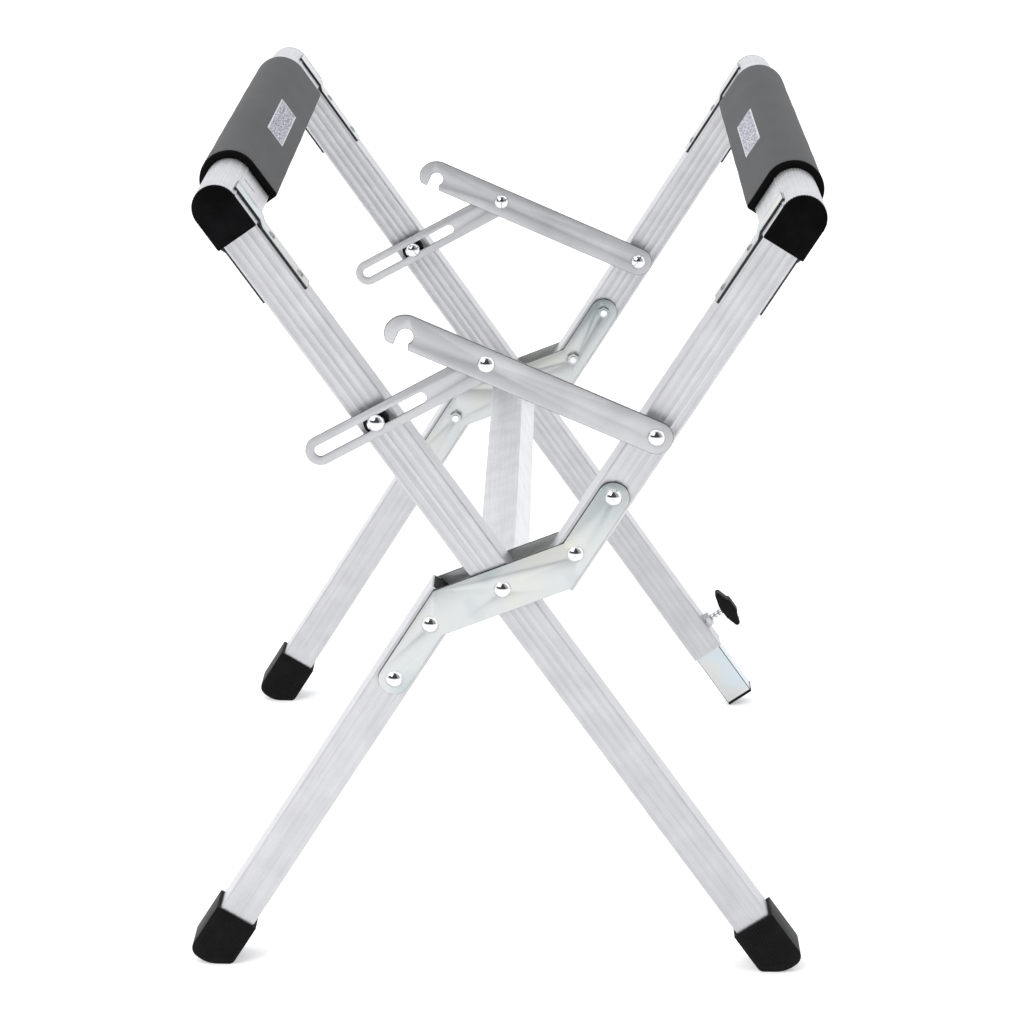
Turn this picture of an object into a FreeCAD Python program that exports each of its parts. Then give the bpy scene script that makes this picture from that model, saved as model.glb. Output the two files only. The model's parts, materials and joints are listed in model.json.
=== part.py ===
import FreeCAD, Part
import math
import os
import re

import Sketcher
from FreeCAD import Placement, Rotation, Vector

# A folding aluminium work stand: two crossed pairs of legs joined by steel gusset
# plates and a cross bar, two padded rails across the tops, and a slotted link with a
# hooked arm on each pair. Origin on the ground under the middle of the stand, X across
# the spread of the legs, Y along the rails, Z up, in millimetres.

doc = FreeCAD.newDocument("work_stand")

# ---------------------------------------------------------------- driving dimensions
# "along" is measured from the main pivot up a leg, "across" square to it and to Y.
DIMENSIONS = [
    ("pivot_x", 4.3, "main pivot from the origin, along X"),
    ("pivot_y", -375.35, "front face of the front legs, along Y"),
    ("pivot_z", 431.0, "main pivot above the ground"),
    ("frame_pitch", 720.0, "front leg pair to rear leg pair"),
    ("tilt_a", 35.4, "straight legs from the vertical, leaning left at the top"),
    ("tilt_b", 31.5, "cranked legs from the vertical, leaning right at the top"),
    ("tube_width", 40.0, "leg tube, across"),
    ("tube_depth", 36.0, "leg tube, along Y"),
    ("tube_wall", 2.0, "leg tube wall"),
    ("tube_corner", 2.0, "leg tube corner radius"),
    ("flute_width", 8.5, "shallow flute in the front and back faces"),
    ("flute_sink", 0.45, "depth of a flute"),
    ("running_gap", 0.3, "clearance each side of a piece that moves past another"),
    ("pin_gap", 0.05, "radial clearance of a turning pin"),
    ("leg_top", 448.0, "top end of every leg, along"),
    ("leg_foot", 500.0, "lower end of a leg inside its foot cap, along"),
    ("outer_end", 439.0, "lower end of the telescopic leg's outer tube, along"),
    ("crank", 42.2, "half legs from the pivot line, across"),
    ("half_leg_start", 36.0, "half leg's end next to the pivot, along"),
    ("plate", 3.0, "thickness of gussets, arms and links"),
    ("gusset_half", 16.5, "half width of a gusset's arm"),
    ("gusset_inner_bolt", 72.0, "nearer gusset bolt, along"),
    ("gusset_outer_bolt", 143.0, "further gusset bolt, along"),
    ("gusset_notch", 75.3, "gusset's inner corner, along"),
    ("gusset_corner", 39.0, "gusset's outer corner, along"),
    ("bolt_radius", 4.0, "main bolts, M8"),
    ("head_radius", 9.0, "domed head"),
    ("head_height", 5.0, "domed head"),
    ("nut_radius", 7.2, "hexagon nut across corners, halved"),
    ("nut_height", 5.0, "hexagon nut"),
    ("bar_side", 40.0, "cross bar's square section"),
    ("bar_turn", 21.0, "cross bar's twist about Y"),
    ("rail_width", 46.0, "D rail, across"),
    ("rail_shoulder", 36.0, "straight side of the D rail, along"),
    ("rail_wall", 2.0, "D rail wall"),
    ("rail_overhang", 15.0, "rail's end in front of the front legs"),
    ("rail_length", 786.0, "rail with its end caps"),
    ("end_cap", 3.5, "rail end cap"),
    ("foam_wall", 8.0, "foam sleeve round the rail"),
    ("foam_start", 126.0, "foam from the rail's front end"),
    ("foam_length", 548.0, "foam sleeve"),
    ("foam_under", 4.0, "foam sleeve under the rail"),
    ("strap_wall", 2.6, "rail strap"),
    ("strap_width", 28.0, "rail strap, along Y"),
    ("strap_step", 8.0, "length of the strap's joggle"),
    ("inner_strap_low", 82.0, "inner strap's lower end below the leg's end"),
    ("inner_strap_high", 40.0, "inner strap's upper end above the leg's end"),
    ("outer_strap_low", 70.0, "outer strap's lower end below the leg's end"),
    ("outer_strap_high", 26.0, "outer strap's upper end above the leg's end"),
    ("upper_rivet", 21.0, "upper strap rivet below the leg's end"),
    ("inner_rivet", 68.0, "inner strap's lower rivet below the leg's end"),
    ("outer_rivet", 57.0, "outer strap's lower rivet below the leg's end"),
    ("cap_width", 48.0, "foot cap, across"),
    ("cap_depth", 42.0, "foot cap, along Y"),
    ("cap_height", 50.0, "foot cap from its rim to its inner edge"),
    ("sole_width", 16.0, "flat of a foot cap on the ground"),
    ("sole_reach", 43.0, "foot cap's outermost point from its inner edge, along the ground"),
    ("nose_radius", 12.0, "rounding where a foot cap's sole meets its outer wall"),
    ("fit", 0.2, "foot cap's clearance round the leg"),
    ("foot_width", 34.8, "adjustable foot's tube, across"),
    ("foot_depth", 30.6, "adjustable foot's tube, along Y"),
    ("foot_length", 170.0, "adjustable foot's tube"),
    ("plug", 3.0, "adjustable foot's rubber plug"),
    ("knob_along", 406.0, "lock knob below the pivot, along"),
    ("stem_radius", 4.0, "lock knob's screw"),
    ("stem_length", 26.0, "lock screw between the leg and the knob"),
    ("knob_span", 54.0, "lock knob, wing to wing"),
    ("knob_depth", 18.0, "lock knob, along Y"),
    ("knob_thick", 17.0, "lock knob along its screw"),
    ("knob_tip", 7.0, "thickness of a wing's tip"),
    ("knob_tip_radius", 3.7, "radius of a wing's tip"),
    ("knob_wing", 7.5, "middle of a wing's tip from the knob's back"),
    ("knob_back", 9.0, "half the height of the knob's flat back and front"),
    ("knob_shoulder", 12.3, "half the height where a wing leaves the knob's front"),
    ("knob_slope", 3.0, "wing's front edge behind the knob's front"),
    ("knob_edge", 2.5, "lock knob's rounded edges"),
    ("washer", 2.0, "washer under the lock screw's nut"),
    ("collar", 6.0, "nut that the lock screw turns in"),
    ("collar_radius", 9.5, "nut that the lock screw turns in, and its washer"),
    ("arm_along", 222.2, "arm pivot above the main pivot, along"),
    ("arm_rise", 156.8, "arm's direction from +X"),
    ("arm_half", 17.0, "half the arm's width"),
    ("arm_front", 15.0, "arm's front face before the leg"),
    ("hook_reach", 268.5, "hook's centre from the arm pivot"),
    ("hook_radius", 8.0, "hook's throat"),
    ("hook_drop", 5.0, "hook's centre below the arm's middle line"),
    ("hook_outer", 22.0, "hook's outer edge"),
    ("hook_tip", 15.5, "hook's tip beyond the hook's centre"),
    ("hook_lip", 5.5, "lip across the mouth from the tip"),
    ("hook_nose", 18.7, "radius of the hook's outer end"),
    ("mouth_flare", 0.5, "how much wider the mouth is at its edge"),
    ("rivet_x", -17.2, "link rivet from the main pivot, along X"),
    ("rivet_z", 240.7, "link rivet from the main pivot, along Z"),
    ("rivet_radius", 3.0, "link rivet and slot bolt shank"),
    ("link_front", 11.5, "link's front face before the leg"),
    ("link_half", 15.0, "half the link's width"),
    ("slot_half", 6.0, "half the slot's width"),
    ("slot_near", 74.0, "slot's near end centre from the rivet"),
    ("slot_far", 189.0, "slot's far end centre from the rivet"),
    ("slot_bolt_along", 218.4, "slot bolt above the main pivot, along"),
    ("link_turn", -0.69, "slot's centre line from the line rivet to bolt"),
    ("disc_radius", 13.0, "nylon disc under the slot bolt"),
    ("small_radius", 5.0, "strap rivet's head"),
    ("small_height", 2.2, "strap rivet's head"),
    ("tail_radius", 6.0, "link rivet's formed end"),
    ("tail_height", 1.6, "link rivet's formed end"),
    ("bolt_end", 2.0, "bolt's end beyond its nut"),
]

sheet = doc.addObject("Spreadsheet::Sheet", "dims")
for row, (alias, value, meaning) in enumerate(DIMENSIONS, start=1):
    sheet.set("A%d" % row, meaning)
    sheet.set("B%d" % row, str(value))
    sheet.setAlias("B%d" % row, alias)
doc.recompute()

FUNCTIONS = {"sin", "cos", "tan", "asin", "sqrt"}
subparts = []


def bound(expression):
    """Turn an expression in plain aliases into one that reads the sheet."""
    def from_sheet(match):
        word = match.group(0)
        return word if word in FUNCTIONS else "dims." + word
    return re.sub(r"[a-z][a-z_]*", from_sheet, str(expression))


def number(expression):
    """The value that an expression in plain aliases has now."""
    value = sheet.evalExpression(bound(expression))
    return float(getattr(value, "Value", value))


# ------------------------------------------------------------------------- placements
def point(x, y, z):
    return Vector(number(x), number(y), number(z))


def turned(x="0", y="0", z="0", axis=Vector(0, 1, 0), angle="0"):
    return Placement(point(x, y, z), Rotation(axis, number(angle)))


# Local X runs across a leg and local Z up it.
FRAME_A = turned("pivot_x", "pivot_y", "pivot_z", angle="-tilt_a")
FRAME_B = turned("pivot_x", "pivot_y", "pivot_z", angle="tilt_b")
UPRIGHT = turned("pivot_x", "pivot_y", "pivot_z")


def sub_part(thing, label, frame):
    """Name a finished object, set it in its frame and list it for export."""
    thing.Label = label
    thing.Placement = frame
    subparts.append(thing)
    return thing


# ---------------------------------------------------------- primitives and booleans
def sized(kind, name, sizes, placement):
    thing = doc.addObject(kind, name)
    for prop, expression in sizes.items():
        thing.setExpression(prop, bound(expression))
    thing.Placement = placement
    return thing


ALONG_Y = Rotation(Vector(1, 0, 0), -90)
ALONG_X = Rotation(Vector(0, 1, 0), 90)


def rod(name, radius, length, at, direction=ALONG_Y):
    place = Placement(point(*at), direction)
    return sized("Part::Cylinder", name, {"Radius": radius, "Height": length}, place)


def block(name, length, width, height, at):
    sizes = {"Length": length, "Width": width, "Height": height}
    return sized("Part::Box", name, sizes, Placement(point(*at), Rotation()))


def fused(name, pieces):
    whole = doc.addObject("Part::MultiFuse", name)
    whole.Shapes = pieces
    return whole


def cut(name, base, tools):
    tool = tools[0] if len(tools) == 1 else fused(name + "_tools", tools)
    result = doc.addObject("Part::Cut", name)
    result.Base = base
    result.Tool = tool
    return result


def grouped(name, pieces):
    group = doc.addObject("Part::Compound", name)
    group.Links = pieces
    return group


# ---------------------------------------------------------------- sketches and pads
def sketch_on(body, role, name):
    sketch = body.newObject("Sketcher::SketchObject", name)
    plane = next(item for item in body.Origin.OriginFeatures if item.Role == role)
    sketch.AttachmentSupport = (plane, [""])
    sketch.MapMode = "FlatFace"
    return sketch


def arc_between(start, end, radius):
    """The short arc, anticlockwise for a positive radius."""
    chord = end - start
    middle = (start + end) * 0.5
    left = Vector(-chord.y, chord.x, 0).normalize()
    rise = math.sqrt(max(radius ** 2 - (chord.Length / 2) ** 2, 0.0))
    centre = middle + left * math.copysign(rise, radius)
    first, last = (start, end) if radius > 0 else (end, start)
    angles = [math.atan2(p.y - centre.y, p.x - centre.x) for p in (first, last)]
    circle = Part.Circle(centre, Vector(0, 0, 1), abs(radius))
    return Part.ArcOfCircle(circle, angles[0], angles[1])


def tie(sketch, kind, expression, *where):
    """Add one size to a sketch and bind it to the sheet."""
    constraint = Sketcher.Constraint(kind, *where, number(expression))
    index = sketch.addConstraint(constraint)
    sketch.setExpression("Constraints[%d]" % index, bound(expression))


def outline(sketch, corners):
    """Draw a closed outline. A corner is (x, y) or (x, y, radius of the arc after it)."""
    points = [Vector(number(c[0]), number(c[1]), 0) for c in corners]
    bends = [c[2] if len(c) > 2 else None for c in corners]
    ends = []
    for i, bend in enumerate(bends):
        start, end = points[i], points[(i + 1) % len(points)]
        if bend is None:
            edge = sketch.addGeometry(Part.LineSegment(start, end), False)
            ends.append((edge, 1, 2))
            continue
        radius = number(bend)
        edge = sketch.addGeometry(arc_between(start, end, radius), False)
        ends.append((edge, 1, 2) if radius > 0 else (edge, 2, 1))
    for i, (edge, start, _) in enumerate(ends):
        before, _, before_end = ends[i - 1]
        joint = Sketcher.Constraint("Coincident", before, before_end, edge, start)
        sketch.addConstraint(joint)
    for (edge, start, _), corner, bend in zip(ends, corners, bends):
        tie(sketch, "DistanceX", corner[0], -1, 1, edge, start)
        tie(sketch, "DistanceY", corner[1], -1, 1, edge, start)
        if bend is not None:
            tie(sketch, "Radius", "sqrt((%s)^2)" % bend, edge)


def holes(sketch, centres):
    """Draw round holes, each (x, y, radius)."""
    for x, y, radius in centres:
        centre = Vector(number(x), number(y), 0)
        edge = sketch.addGeometry(Part.Circle(centre, Vector(0, 0, 1), number(radius)), False)
        tie(sketch, "DistanceX", x, -1, 1, edge, 3)
        tie(sketch, "DistanceY", y, -1, 1, edge, 3)
        tie(sketch, "Radius", radius, edge)


def padded(name, role, outlines, length, round_holes=()):
    """Pad outlines, the first with the rest cut out of it, towards +Z or +Y."""
    body = doc.addObject("PartDesign::Body", name)
    sketch = sketch_on(body, role, name + "_sketch")
    for corners in outlines:
        outline(sketch, corners)
    holes(sketch, round_holes)
    pad = body.newObject("PartDesign::Pad", name + "_pad")
    pad.Profile = sketch
    pad.setExpression("Length", bound(length))
    pad.Reversed = role == "XZ_Plane"
    return body


# ------------------------------------------------------------------------- sections
BOW = "((flute_width / 2)^2 + flute_sink^2) / (2 * flute_sink)"


def plain_rectangle(half_x, half_y):
    signs = ((-1, -1), (1, -1), (1, 1), (-1, 1))
    return [("%d * (%s)" % (i, half_x), "%d * (%s)" % (j, half_y)) for i, j in signs]


def tube_section(width, depth):
    """A tube's outer outline, round at the corners and fluted front and back, and its bore."""
    outer = []
    for side in (1, -1):
        edge_x = "%d * (%s) / 2" % (side, width)
        edge_y = "%d * (%s) / 2" % (side, depth)
        round_x = "%s - %d * tube_corner" % (edge_x, side)
        round_y = "%s - %d * tube_corner" % (edge_y, side)
        outer.append((edge_x, round_y, "tube_corner"))
        outer.append((round_x, edge_y))
        for step in (2, 1, 0, -1):
            outer.append(("%d * flute_width" % (side * step), edge_y, "-(%s)" % BOW))
        outer.append(("%d * flute_width" % (side * -2), edge_y))
        outer.append(("-(%s)" % round_x, edge_y, "tube_corner"))
        outer.append(("-(%s)" % edge_x, round_y))
    bore = plain_rectangle("(%s) / 2 - tube_wall" % width, "(%s) / 2 - tube_wall" % depth)
    return [outer, bore]


def rail_section(grow, under):
    """A D: flat against the leg's end, straight sides and a half round top."""
    half = "rail_width / 2 + (%s)" % grow
    flat = "leg_top - (%s)" % under
    shoulder = "leg_top + rail_shoulder"
    return [
        ("-(%s)" % half, flat),
        (half, flat),
        (half, shoulder, half),
        ("0", "%s + %s" % (shoulder, half), half),
        ("-(%s)" % half, shoulder),
    ]


# ---------------------------------------------------------------------------- bolts
def dome(name, radius, height, at, direction):
    """A domed head, flat side at the given point."""
    ball = "(({0})^2 + ({1})^2) / (2 * ({1}))".format(radius, height)
    place = Placement(point(*at), direction)
    sink = Placement(Vector(0, 0, number("%s - %s" % (height, ball))), Rotation())
    sizes = {"Radius": ball, "Angle1": "asin(1 - (%s) / (%s))" % (height, ball)}
    return sized("Part::Sphere", name, sizes, place.multiply(sink))


TO_FRONT = Rotation(Vector(1, 0, 0), 90)


def bolt(name, x, z, head_y, grip, radius="bolt_radius", heading=1):
    """A domed bolt along Y, heading away from its head."""
    facing, going = (TO_FRONT, ALONG_Y) if heading > 0 else (ALONG_Y, TO_FRONT)
    head = dome(name + "_head", "head_radius", "head_height", (x, head_y, z), facing)
    shank = rod(name + "_shank", radius, grip, (x, head_y, z), going)
    return fused(name, [head, shank])


def nut(name, x, z, y, bore="bolt_radius"):
    """A hexagon nut along Y from y, with a clearance bore."""
    hexagon = sized("Part::Prism", name + "_hexagon",
                    {"Circumradius": "nut_radius", "Height": "nut_height"},
                    Placement(point(x, y, z), ALONG_Y))
    hexagon.Polygon = 6
    hole = rod(name + "_bore", "%s + pin_gap" % bore, "nut_height", (x, y, z))
    return cut(name, hexagon, [hole])


# ------------------------------------------------------------------------------ legs
PAIRS = (("front", "0"), ("rear", "frame_pitch"))
SLIM_DEPTH = "tube_depth - 2 * running_gap"


def leg_tube(label, frame, across, start, end, y, bolts, depth="tube_depth", side_holes=()):
    """A fluted tube between two places along its leg, with (along, radius) cross holes."""
    length = "(%s) - (%s)" % (end, start)
    tube = padded(label + "_tube", "XY_Plane", tube_section("tube_width", depth), length)
    tube.Placement = turned(across, "%s + tube_depth / 2" % y, start)
    tools = []
    for i, (along, radius) in enumerate(bolts):
        at = (across, y, along)
        tools.append(rod("%s_hole_%d" % (label, i), "%s + pin_gap" % radius, "tube_depth", at))
    for along, radius in side_holes:
        at = (across, "%s + tube_depth / 2" % y, along)
        hole = rod(label + "_side_hole", "%s + pin_gap" % radius, "tube_width", at, ALONG_X)
        tools.append(hole)
    return sub_part(cut(label + "_drilled", tube, tools), label, frame)


GUSSET_BOLTS = [("gusset_inner_bolt", "bolt_radius"), ("gusset_outer_bolt", "bolt_radius")]

for pair, y in PAIRS:
    # The straight leg runs between the gussets, so it is slimmer by the running gap.
    straight = [("0", "bolt_radius"), ("slot_bolt_along", "rivet_radius")]
    foot_end = "-leg_foot" if pair == "front" else "-outer_end"
    clamp = [("-knob_along", "stem_radius")] if pair == "rear" else []
    leg_tube("leg_a_" + pair, FRAME_A, "0", foot_end, "leg_top", y, straight,
             SLIM_DEPTH, clamp)

    upper = GUSSET_BOLTS + [("arm_along", "bolt_radius")]
    leg_tube("leg_b_upper_" + pair, FRAME_B, "crank", "half_leg_start", "leg_top", y, upper)
    lower = [("-" + along, radius) for along, radius in GUSSET_BOLTS]
    leg_tube("leg_b_lower_" + pair, FRAME_B, "-crank", "-leg_foot", "-half_leg_start", y,
             lower)

# --------------------------------------------------------------------------- gussets
INNER_EDGE = "crank - gusset_half"
OUTER_EDGE = "crank + gusset_half"


def gusset_outline():
    """Half the plate, then the same half turned about the pivot."""
    half = [
        (OUTER_EDGE, "gusset_corner"),
        (OUTER_EDGE, "gusset_outer_bolt", "gusset_half"),
        ("crank", "gusset_outer_bolt + gusset_half", "gusset_half"),
        (INNER_EDGE, "gusset_outer_bolt"),
        (INNER_EDGE, "gusset_notch"),
    ]
    turned_half = [("-(%s)" % c[0], "-(%s)" % c[1]) + c[2:] for c in half]
    return half + turned_half


def gusset_places():
    """(across, along) of the four bolts that hold the half legs."""
    for sign in ("", "-"):
        for along, _ in GUSSET_BOLTS:
            yield sign + "crank", sign + along


pivot_nuts = []
for pair, y in PAIRS:
    outer_y, inner_y = ("-plate", "tube_depth") if pair == "front" else ("tube_depth", "-plate")
    bolt_holes = [(across, along, "bolt_radius + pin_gap") for across, along in gusset_places()]
    bolt_holes.append(("0", "0", "bolt_radius + pin_gap"))
    for side, plate_y in (("outer", outer_y), ("inner", inner_y)):
        label = "gusset_%s_%s" % (side, pair)
        plate = padded(label + "_plate", "XZ_Plane", [gusset_outline()], "plate", bolt_holes)
        offset = turned(y="%s + %s" % (y, plate_y))
        sub_part(plate, label, FRAME_B.multiply(offset))

    heading = 1 if pair == "front" else -1
    head_y = y + (" - plate" if heading > 0 else " + tube_depth + plate")
    nut_y = y + (" + tube_depth + plate" if heading > 0 else " - plate - nut_height")
    grip = "tube_depth + 2 * plate + nut_height + bolt_end"
    bolts, nuts = [], []
    for i, (across, along) in enumerate(gusset_places()):
        bolts.append(bolt("%s_gusset_bolt_%d" % (pair, i), across, along, head_y, grip,
                          heading=heading))
        nuts.append(nut("%s_gusset_nut_%d" % (pair, i), across, along, nut_y))
    sub_part(grouped(pair + "_gusset_bolts", bolts), "gusset_bolts_" + pair, FRAME_B)
    sub_part(grouped(pair + "_gusset_nuts", nuts), "gusset_nuts_" + pair, FRAME_B)
    pivot = bolt(pair + "_pivot", "0", "0", head_y, grip, heading=heading)
    sub_part(pivot, "pivot_bolt_" + pair, FRAME_B)
    pivot_nuts.append(nut(pair + "_pivot_nut", "0", "0", nut_y))
sub_part(grouped("pivot_nut_pair", pivot_nuts), "pivot_nuts", FRAME_B)

# The cross bar is welded between the inner gussets and hides the pivot nuts.
bar_section = [
    plain_rectangle("bar_side / 2", "bar_side / 2"),
    plain_rectangle("bar_side / 2 - tube_wall", "bar_side / 2 - tube_wall"),
]
bar_length = "frame_pitch - tube_depth - 2 * plate"
cross_bar = padded("bar", "XZ_Plane", bar_section, bar_length)
sub_part(cross_bar, "cross_bar", UPRIGHT.multiply(turned(y="tube_depth + plate",
                                                         angle="-bar_turn")))

# ---------------------------------------------------------------- rails and padding
RAILS = (("left", "a", FRAME_A, "0", 1), ("right", "b", FRAME_B, "crank", -1))
TUBE_LENGTH = "rail_length - 2 * end_cap"

for name, _, frame, across, _ in RAILS:
    section = [rail_section("0", "0"), rail_section("-rail_wall", "-rail_wall")]
    start = turned(across, "end_cap - rail_overhang")
    rail = padded(name + "_rail_tube", "XZ_Plane", section, TUBE_LENGTH)
    sub_part(rail, "rail_" + name, frame.multiply(start))
    cap_places = (("front", "-rail_overhang"),
                  ("rear", "rail_length - rail_overhang - end_cap"))
    for end, y in cap_places:
        cap = padded("%s_%s_end" % (name, end), "XZ_Plane", [rail_section("0", "0")], "end_cap")
        label = "rail_cap_%s_%s" % (name, end)
        sub_part(cap, label, frame.multiply(turned(across, y)))
    sleeve = [rail_section("foam_wall", "foam_under"), rail_section("0", "0")]
    foam = padded(name + "_sleeve", "XZ_Plane", sleeve, "foam_length")
    offset = turned(across, "foam_start - rail_overhang")
    sub_part(foam, "foam_" + name, frame.multiply(offset))


def strap_outline(side, low, high):
    """Along the tube's side face, then stepped out to the wider rail's side face."""
    tube_face = "%d * tube_width / 2" % side
    rail_face = "%d * rail_width / 2" % side
    thick = "%d * strap_wall" % side
    step = "leg_top - strap_step"
    return [
        (tube_face, low),
        ("%s + %s" % (tube_face, thick), low),
        ("%s + %s" % (tube_face, thick), step),
        ("%s + %s" % (rail_face, thick), "leg_top"),
        ("%s + %s" % (rail_face, thick), high),
        (rail_face, high),
        (rail_face, "leg_top"),
        (tube_face, step),
    ]


STRAPS = (("inner", 1), ("outer", -1))

for name, letter, frame, across, inward in RAILS:
    rivets = []
    for pair, y in PAIRS:
        for place, sign in STRAPS:
            side = sign * inward
            low = "leg_top - %s_strap_low" % place
            corners = strap_outline(side, low, "leg_top + %s_strap_high" % place)
            label = "strap_%s_%s_%s" % (letter, pair, place)
            strap = padded(label + "_plate", "XZ_Plane", [corners], "strap_width")
            offset = turned(across, "%s + (tube_depth - strap_width) / 2" % y)
            sub_part(strap, label, frame.multiply(offset))
            out = Rotation(Vector(0, 1, 0), 90 * side)
            for i, drop in enumerate(("upper_rivet", place + "_rivet")):
                x = "%s + %d * (tube_width / 2 + strap_wall)" % (across, side)
                at = (x, "%s + tube_depth / 2" % y, "leg_top - " + drop)
                rivet_name = "%s_rivet_%d" % (label, i)
                rivets.append(dome(rivet_name, "small_radius", "small_height", at, out))
    sub_part(grouped(name + "_rivets", rivets), "strap_rivets_" + letter, frame)


# ------------------------------------------------------------------------------ feet
def foot_cap(label, frame, outward, across, tilt, y):
    """A plastic socket: flat where it meets the ground, rounded up to its outer wall."""
    inner = "%d * (%s) - cap_width / 2" % (outward, across)
    edge = "-(pivot_z + (%s) * sin(%s)) / cos(%s)" % (inner, tilt, tilt)
    rim = "%s + cap_height" % edge

    def above_ground(run, height):
        """From a place on the ground beyond the inner edge, and the height over it."""
        parts = {"inner": inner, "edge": edge, "run": run, "height": height, "tilt": tilt}
        return ("{inner} + ({run}) * cos({tilt}) + ({height}) * sin({tilt})".format(**parts),
                "{edge} - ({run}) * sin({tilt}) + ({height}) * cos({tilt})".format(**parts))

    # The nose touches the outer wall, and the sole's arc touches the ground and the nose.
    nose = "(sole_reach - nose_radius)"
    nose_up = "((cap_width - nose_radius - %s * cos(%s)) / sin(%s))" % (nose, tilt, tilt)
    nose_past = "(%s - sole_width)" % nose
    bow = "((%s^2 + %s^2 - nose_radius^2) / (2 * (%s - nose_radius)))" % (
        nose_past, nose_up, nose_up)
    share = "nose_radius / (%s - nose_radius)" % bow
    corners = [
        (inner, rim),
        (inner, edge),
        above_ground("sole_width", "0"),
        above_ground("%s + %s * %s" % (nose, share, nose_past),
                     "%s + %s * (%s - %s)" % (nose_up, share, nose_up, bow)),
        above_ground("%s + nose_radius * cos(%s)" % (nose, tilt),
                     "%s + nose_radius * sin(%s)" % (nose_up, tilt)),
        ("%s + cap_width" % inner, rim),
    ]
    mirrored = [("%d * (%s)" % (outward, c[0]), c[1]) for c in corners]
    for i, bend in ((2, bow), (3, "nose_radius")):
        mirrored[i] = mirrored[i] + ("%d * %s" % (outward, bend),)
    shell = padded(label + "_shell", "XZ_Plane", [mirrored], "cap_depth")
    shell.Placement = turned(y="%s + (tube_depth - cap_depth) / 2" % y)
    socket = block(label + "_socket", "tube_width + 2 * fit", "tube_depth + 2 * fit",
                   "cap_height", ("%s - tube_width / 2 - fit" % across, "%s - fit" % y,
                                  "-leg_foot"))
    return sub_part(cut(label + "_hollow", shell, [socket]), label, frame)


foot_cap("foot_cap_a_front", FRAME_A, 1, "0", "tilt_a", "0")
for pair, y in PAIRS:
    foot_cap("foot_cap_b_" + pair, FRAME_B, -1, "-crank", "tilt_b", y)

# The adjustable foot stands on the inner edge of its rubber plug.
REAR_MIDDLE = "frame_pitch + tube_depth / 2"
foot_bottom = "-(pivot_z - foot_width / 2 * sin(tilt_a)) / cos(tilt_a)"
foot_section = [
    plain_rectangle("foot_width / 2", "foot_depth / 2"),
    plain_rectangle("foot_width / 2 - tube_wall", "foot_depth / 2 - tube_wall"),
]
foot_tube = padded("foot_inner", "XY_Plane", foot_section, "foot_length")
offset = turned("0", REAR_MIDDLE, "%s + plug" % foot_bottom)
sub_part(foot_tube, "foot_tube", FRAME_A.multiply(offset))
foot_plug = padded("foot_end", "XY_Plane", foot_section[:1], "plug")
sub_part(foot_plug, "foot_plug", FRAME_A.multiply(turned("0", REAR_MIDDLE, foot_bottom)))

# Lock screw: local X along the screw, from the leg's outer face.
SCREW = FRAME_A.multiply(turned("tube_width / 2", REAR_MIDDLE, "-knob_along"))
ORIGIN = ("0", "0", "0")

screw_hole = "stem_radius + pin_gap"
washer_disc = rod("washer_disc", "collar_radius", "washer", ORIGIN, ALONG_X)
washer_hole = rod("washer_hole", screw_hole, "washer", ORIGIN, ALONG_X)
sub_part(cut("washer_ring", washer_disc, [washer_hole]), "lock_washer", SCREW)

collar_at = ("washer", "0", "0")
hexagon = sized("Part::Prism", "collar_hexagon",
                {"Circumradius": "collar_radius", "Height": "collar"},
                Placement(point(*collar_at), ALONG_X))
hexagon.Polygon = 6
collar_hole = rod("collar_hole", screw_hole, "collar", collar_at, ALONG_X)
sub_part(cut("collar_nut", hexagon, [collar_hole]), "lock_nut", SCREW)

tip = "-(tube_width - foot_width) / 2 + running_gap"
screw = rod("screw", "stem_radius", "stem_length - (%s)" % tip, (tip, "0", "0"), ALONG_X)
sub_part(screw, "lock_screw", SCREW.multiply(screw.Placement))

# The knob: two wings that taper from a thick middle, with every edge rounded.
TIP_Z = "(knob_span - knob_tip) / 2"
knob_half = [
    ("0", "knob_back"),
    ("knob_wing - knob_tip / 2", TIP_Z),
    ("knob_wing + knob_tip / 2", TIP_Z),
    ("knob_thick - knob_slope", "knob_shoulder"),
    ("knob_thick", "knob_back"),
]
lower_half = [(x, "-(%s)" % z) for x, z in reversed(knob_half)]
lower_half[2] = lower_half[2] + ("-knob_tip_radius",)
knob_half[1] = knob_half[1] + ("-knob_tip_radius",)
knob_body = padded("knob_body", "XZ_Plane", [knob_half + lower_half], "knob_depth")
knob_body.Placement = turned("stem_length", "-knob_depth / 2", "0")
doc.recompute()
rounded = doc.addObject("Part::Fillet", "knob_rounded")
rounded.Base = knob_body
rim_radius = number("knob_edge")
rims = [i for i, edge in enumerate(knob_body.Shape.Edges, start=1)
        if edge.BoundBox.YLength < rim_radius]
rounded.Edges = [(i, rim_radius, rim_radius) for i in rims]
sub_part(rounded, "lock_knob", SCREW)

# --------------------------------------------------------------- latch arms and links
# An arm's own X runs from its pivot to the hook and its own Z to the hook's mouth.
ARM_X = "pivot_x + arm_along * sin(tilt_b) + crank * cos(tilt_b)"
ARM_Z = "pivot_z + arm_along * cos(tilt_b) - crank * sin(tilt_b)"
ARM = turned(ARM_X, "pivot_y", ARM_Z, angle="-arm_rise")

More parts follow.
